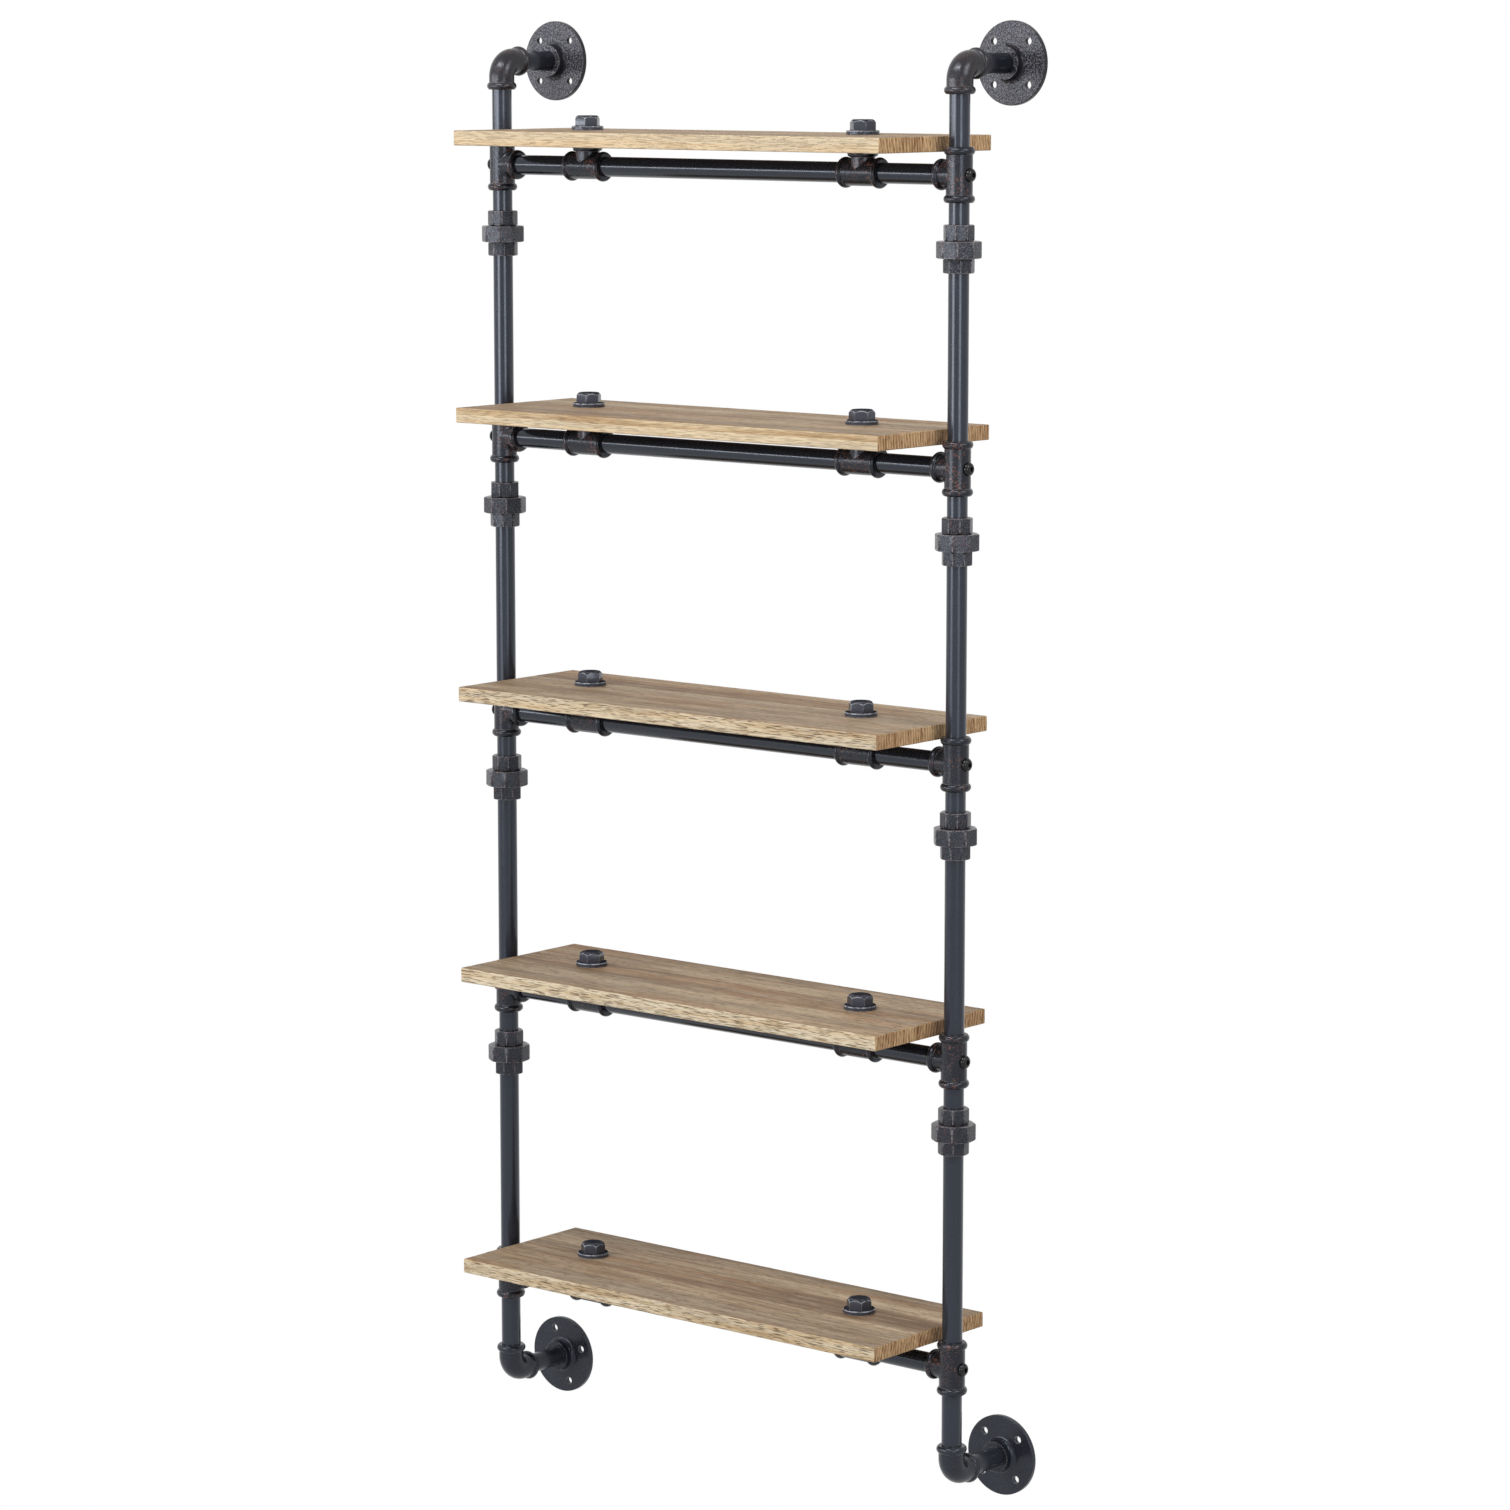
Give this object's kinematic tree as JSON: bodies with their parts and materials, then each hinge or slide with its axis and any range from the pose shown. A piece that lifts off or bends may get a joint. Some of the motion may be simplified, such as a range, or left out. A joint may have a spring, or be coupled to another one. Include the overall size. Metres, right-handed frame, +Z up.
{
  "type": "pipe shelving unit",
  "caption": "Wall-hung shelving unit: oak boards bolted to cross rails of black threaded pipe between two uprights with unions, elbows and wall flanges.",
  "frame": {"origin": "on the wall plane, midway between the four flanges", "axes": "+X along the shelves to the viewer's right, +Y into the wall, +Z up"},
  "size_m": [0.71, 0.192, 1.547],
  "materials": {
    "oak": "weathered oak, open grain, matt",
    "black_pipe": "smooth satin charcoal paint",
    "black_cast_iron": "sandy cast skin, charcoal paint rubbed on the edges",
    "black_fastener": "glossier black paint",
    "insert_steel": "plain turned steel"
  },
  "bodies": {
    "root": {"shelf_board_1": "oak", "cross_pipe_1": "black_pipe", "cross_nipples_1": "black_pipe", "shelf_tees_1": "black_cast_iron", "left_tee_1": "black_cast_iron", "right_tee_1": "black_cast_iron", "shelf_board_2": "oak", "cross_pipe_2": "black_pipe", "cross_nipples_2": "black_pipe", "shelf_tees_2": "black_cast_iron", "left_tee_2": "black_cast_iron", "right_tee_2": "black_cast_iron", "shelf_board_3": "oak", "cross_pipe_3": "black_pipe", "cross_nipples_3": "black_pipe", "shelf_tees_3": "black_cast_iron", "left_tee_3": "black_cast_iron", "right_tee_3": "black_cast_iron", "shelf_board_4": "oak", "cross_pipe_4": "black_pipe", "cross_nipples_4": "black_pipe", "shelf_tees_4": "black_cast_iron", "left_tee_4": "black_cast_iron", "right_tee_4": "black_cast_iron", "shelf_board_5": "oak", "cross_pipe_5": "black_pipe", "cross_nipples_5": "black_pipe", "shelf_tees_5": "black_cast_iron", "left_tee_5": "black_cast_iron", "right_tee_5": "black_cast_iron", "left_pipe_1": "black_pipe", "right_pipe_1": "black_pipe", "left_pipe_2": "black_pipe", "right_pipe_2": "black_pipe", "left_pipe_3": "black_pipe", "right_pipe_3": "black_pipe", "left_pipe_4": "black_pipe", "right_pipe_4": "black_pipe", "top_left_elbow": "black_cast_iron", "top_left_wall_nipple": "black_pipe", "top_left_flange": "black_cast_iron", "top_right_elbow": "black_cast_iron", "top_right_wall_nipple": "black_pipe", "top_right_flange": "black_cast_iron", "bottom_left_elbow": "black_cast_iron", "bottom_left_wall_nipple": "black_pipe", "bottom_left_flange": "black_cast_iron", "bottom_right_elbow": "black_cast_iron", "bottom_right_wall_nipple": "black_pipe", "bottom_right_flange": "black_cast_iron", "short_nipples": "black_pipe", "top_nipples": "black_pipe", "bottom_nipples": "black_pipe", "union_upper_ends": "black_cast_iron", "union_nuts": "black_cast_iron", "union_lower_ends": "black_cast_iron", "shelf_plugs": "black_fastener", "tee_screws": "black_fastener", "rail_inserts": "insert_steel"}
  },
  "joints": []
}
